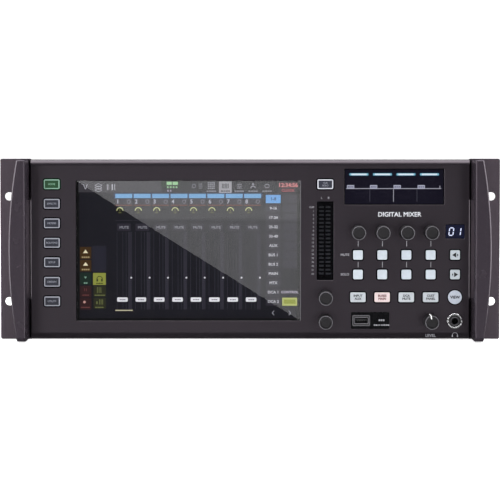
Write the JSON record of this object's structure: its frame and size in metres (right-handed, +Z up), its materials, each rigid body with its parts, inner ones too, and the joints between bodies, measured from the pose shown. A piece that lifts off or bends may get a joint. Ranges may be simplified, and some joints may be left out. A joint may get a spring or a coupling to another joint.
{
  "type": "rack mount digital mixer",
  "caption": "Four-unit 19-inch rack digital audio mixer with a touch screen, lit keys, rotary encoders, a level knob and bow-shaped pull handles.",
  "frame": {"origin": "centre of the rack-slot pattern, on the rear mounting face of the rack ears", "axes": "+X to the right seen from the front, -Y out of the control face, +Z up"},
  "size_m": [0.4826, 0.265, 0.1746],
  "materials": {
    "panel_black": "satin black powder coat",
    "case_black": "satin black powder coat",
    "handle_black": "satin black powder coat on a casting",
    "screw_black": "black-plated steel",
    "bushing": "plated steel",
    "screen_glass": "polished cover glass",
    "window_smoke": "smoked acrylic",
    "display_black": "black display housing",
    "plastic_black": "moulded black plastic",
    "plated_shell": "plated shell",
    "chrome_nut": "polished chrome",
    "circuit_board": "green board with solder mask",
    "supply_steel": "zinc-plated steel",
    "connector_black": "black connector shells",
    "rocker_black": "moulded black rocker",
    "key_light": "translucent white, backlit",
    "key_menu": "smoked cap with a light border",
    "key_menu_lit": "lit green",
    "key_peach": "lit peach",
    "key_round": "translucent grey-blue",
    "knob_black": "soft-touch black"
  },
  "bodies": {
    "chassis": {"front_panel": "panel_black", "chassis_tray": "case_black", "top_cover": "case_black", "rear_panel": "case_black", "rack_ear_left": "panel_black", "rack_ear_right": "panel_black", "handle_left": "handle_black", "handle_right": "handle_black", "handle_screws": "screw_black", "case_screws": "screw_black", "encoder_bodies": "bushing", "touch_glass": "screen_glass", "lcd_module": "display_black", "strip_window": "window_smoke", "strip_display": "display_black", "meter_window": "window_smoke", "meter_leds": "display_black", "digit_display": "display_black", "usb_bezel": "plastic_black", "usb_socket": "plated_shell", "phones_jack": "plastic_black", "phones_nut": "chrome_nut", "control_board": "circuit_board", "main_board": "circuit_board", "power_supply": "supply_steel", "xlr_inputs": "connector_black", "xlr_outputs": "connector_black", "network_ports": "plated_shell", "mains_inlet": "plastic_black"},
    "menu_key_1": {"menu_key_1": "key_menu_lit"},
    "menu_key_2": {"menu_key_2": "key_menu"},
    "menu_key_3": {"menu_key_3": "key_menu"},
    "menu_key_4": {"menu_key_4": "key_menu"},
    "menu_key_5": {"menu_key_5": "key_menu"},
    "menu_key_6": {"menu_key_6": "key_menu"},
    "menu_key_7": {"menu_key_7": "key_menu"},
    "clear_key": {"clear_key": "key_menu"},
    "mute_key_1": {"mute_key_1": "key_light"},
    "mute_key_2": {"mute_key_2": "key_light"},
    "mute_key_3": {"mute_key_3": "key_light"},
    "mute_key_4": {"mute_key_4": "key_light"},
    "page_left_key": {"page_left_key": "key_light"},
    "solo_key_1": {"solo_key_1": "key_light"},
    "solo_key_2": {"solo_key_2": "key_light"},
    "solo_key_3": {"solo_key_3": "key_light"},
    "solo_key_4": {"solo_key_4": "key_light"},
    "page_right_key": {"page_right_key": "key_light"},
    "function_key_1": {"function_key_1": "key_light"},
    "function_key_2": {"function_key_2": "key_peach"},
    "function_key_3": {"function_key_3": "key_light"},
    "function_key_4": {"function_key_4": "key_light"},
    "view_key": {"view_key": "key_round"},
    "channel_encoder_1": {"channel_encoder_1": "knob_black"},
    "channel_encoder_2": {"channel_encoder_2": "knob_black"},
    "channel_encoder_3": {"channel_encoder_3": "knob_black"},
    "channel_encoder_4": {"channel_encoder_4": "knob_black"},
    "meter_encoder_1": {"meter_encoder_1": "knob_black"},
    "meter_encoder_2": {"meter_encoder_2": "knob_black"},
    "level_knob": {"level_knob": "knob_black"},
    "power_rocker": {"power_rocker": "rocker_black"}
  },
  "joints": [
    {"name": "menu_key_1_press", "type": "slide", "parent": "chassis", "child": "menu_key_1", "axis": [0, 1, 0], "range_m": [0, 0.0008], "stiffness_N_per_m": 600},
    {"name": "menu_key_2_press", "type": "slide", "parent": "chassis", "child": "menu_key_2", "axis": [0, 1, 0], "range_m": [0, 0.0008], "stiffness_N_per_m": 600},
    {"name": "menu_key_3_press", "type": "slide", "parent": "chassis", "child": "menu_key_3", "axis": [0, 1, 0], "range_m": [0, 0.0008], "stiffness_N_per_m": 600},
    {"name": "menu_key_4_press", "type": "slide", "parent": "chassis", "child": "menu_key_4", "axis": [0, 1, 0], "range_m": [0, 0.0008], "stiffness_N_per_m": 600},
    {"name": "menu_key_5_press", "type": "slide", "parent": "chassis", "child": "menu_key_5", "axis": [0, 1, 0], "range_m": [0, 0.0008], "stiffness_N_per_m": 600},
    {"name": "menu_key_6_press", "type": "slide", "parent": "chassis", "child": "menu_key_6", "axis": [0, 1, 0], "range_m": [0, 0.0008], "stiffness_N_per_m": 600},
    {"name": "menu_key_7_press", "type": "slide", "parent": "chassis", "child": "menu_key_7", "axis": [0, 1, 0], "range_m": [0, 0.0008], "stiffness_N_per_m": 600},
    {"name": "clear_key_press", "type": "slide", "parent": "chassis", "child": "clear_key", "axis": [0, 1, 0], "range_m": [0, 0.0008], "stiffness_N_per_m": 600},
    {"name": "mute_key_1_press", "type": "slide", "parent": "chassis", "child": "mute_key_1", "axis": [0, 1, 0], "range_m": [0, 0.0008], "stiffness_N_per_m": 600},
    {"name": "mute_key_2_press", "type": "slide", "parent": "chassis", "child": "mute_key_2", "axis": [0, 1, 0], "range_m": [0, 0.0008], "stiffness_N_per_m": 600},
    {"name": "mute_key_3_press", "type": "slide", "parent": "chassis", "child": "mute_key_3", "axis": [0, 1, 0], "range_m": [0, 0.0008], "stiffness_N_per_m": 600},
    {"name": "mute_key_4_press", "type": "slide", "parent": "chassis", "child": "mute_key_4", "axis": [0, 1, 0], "range_m": [0, 0.0008], "stiffness_N_per_m": 600},
    {"name": "page_left_key_press", "type": "slide", "parent": "chassis", "child": "page_left_key", "axis": [0, 1, 0], "range_m": [0, 0.0008], "stiffness_N_per_m": 600},
    {"name": "solo_key_1_press", "type": "slide", "parent": "chassis", "child": "solo_key_1", "axis": [0, 1, 0], "range_m": [0, 0.0008], "stiffness_N_per_m": 600},
    {"name": "solo_key_2_press", "type": "slide", "parent": "chassis", "child": "solo_key_2", "axis": [0, 1, 0], "range_m": [0, 0.0008], "stiffness_N_per_m": 600},
    {"name": "solo_key_3_press", "type": "slide", "parent": "chassis", "child": "solo_key_3", "axis": [0, 1, 0], "range_m": [0, 0.0008], "stiffness_N_per_m": 600},
    {"name": "solo_key_4_press", "type": "slide", "parent": "chassis", "child": "solo_key_4", "axis": [0, 1, 0], "range_m": [0, 0.0008], "stiffness_N_per_m": 600},
    {"name": "page_right_key_press", "type": "slide", "parent": "chassis", "child": "page_right_key", "axis": [0, 1, 0], "range_m": [0, 0.0008], "stiffness_N_per_m": 600},
    {"name": "function_key_1_press", "type": "slide", "parent": "chassis", "child": "function_key_1", "axis": [0, 1, 0], "range_m": [0, 0.0008], "stiffness_N_per_m": 600},
    {"name": "function_key_2_press", "type": "slide", "parent": "chassis", "child": "function_key_2", "axis": [0, 1, 0], "range_m": [0, 0.0008], "stiffness_N_per_m": 600},
    {"name": "function_key_3_press", "type": "slide", "parent": "chassis", "child": "function_key_3", "axis": [0, 1, 0], "range_m": [0, 0.0008], "stiffness_N_per_m": 600},
    {"name": "function_key_4_press", "type": "slide", "parent": "chassis", "child": "function_key_4", "axis": [0, 1, 0], "range_m": [0, 0.0008], "stiffness_N_per_m": 600},
    {"name": "view_key_press", "type": "slide", "parent": "chassis", "child": "view_key", "axis": [0, 1, 0], "range_m": [0, 0.0008], "stiffness_N_per_m": 600},
    {"name": "channel_encoder_1_turn", "type": "hinge", "parent": "chassis", "child": "channel_encoder_1", "pos_m": [0.104, -0.01, 0.0164], "axis": [0, 1, 0], "continuous": true},
    {"name": "channel_encoder_2_turn", "type": "hinge", "parent": "chassis", "child": "channel_encoder_2", "pos_m": [0.1274, -0.01, 0.0164], "axis": [0, 1, 0], "continuous": true},
    {"name": "channel_encoder_3_turn", "type": "hinge", "parent": "chassis", "child": "channel_encoder_3", "pos_m": [0.1507, -0.01, 0.0164], "axis": [0, 1, 0], "continuous": true},
    {"name": "channel_encoder_4_turn", "type": "hinge", "parent": "chassis", "child": "channel_encoder_4", "pos_m": [0.1741, -0.01, 0.0164], "axis": [0, 1, 0], "continuous": true},
    {"name": "meter_encoder_1_turn", "type": "hinge", "parent": "chassis", "child": "meter_encoder_1", "pos_m": [0.0724, -0.01, -0.0463], "axis": [0, 1, 0], "continuous": true},
    {"name": "meter_encoder_2_turn", "type": "hinge", "parent": "chassis", "child": "meter_encoder_2", "pos_m": [0.0724, -0.01, -0.0694], "axis": [0, 1, 0], "continuous": true},
    {"name": "level_knob_turn", "type": "hinge", "parent": "chassis", "child": "level_knob", "pos_m": [0.1741, -0.01, -0.0694], "axis": [0, 1, 0], "range_deg": [-140, 160]},
    {"name": "power_rocker_tilt", "type": "hinge", "parent": "chassis", "child": "power_rocker", "pos_m": [0.178, 0.216, -0.022], "axis": [1, 0, 0], "range_deg": [0, 16]}
  ]
}
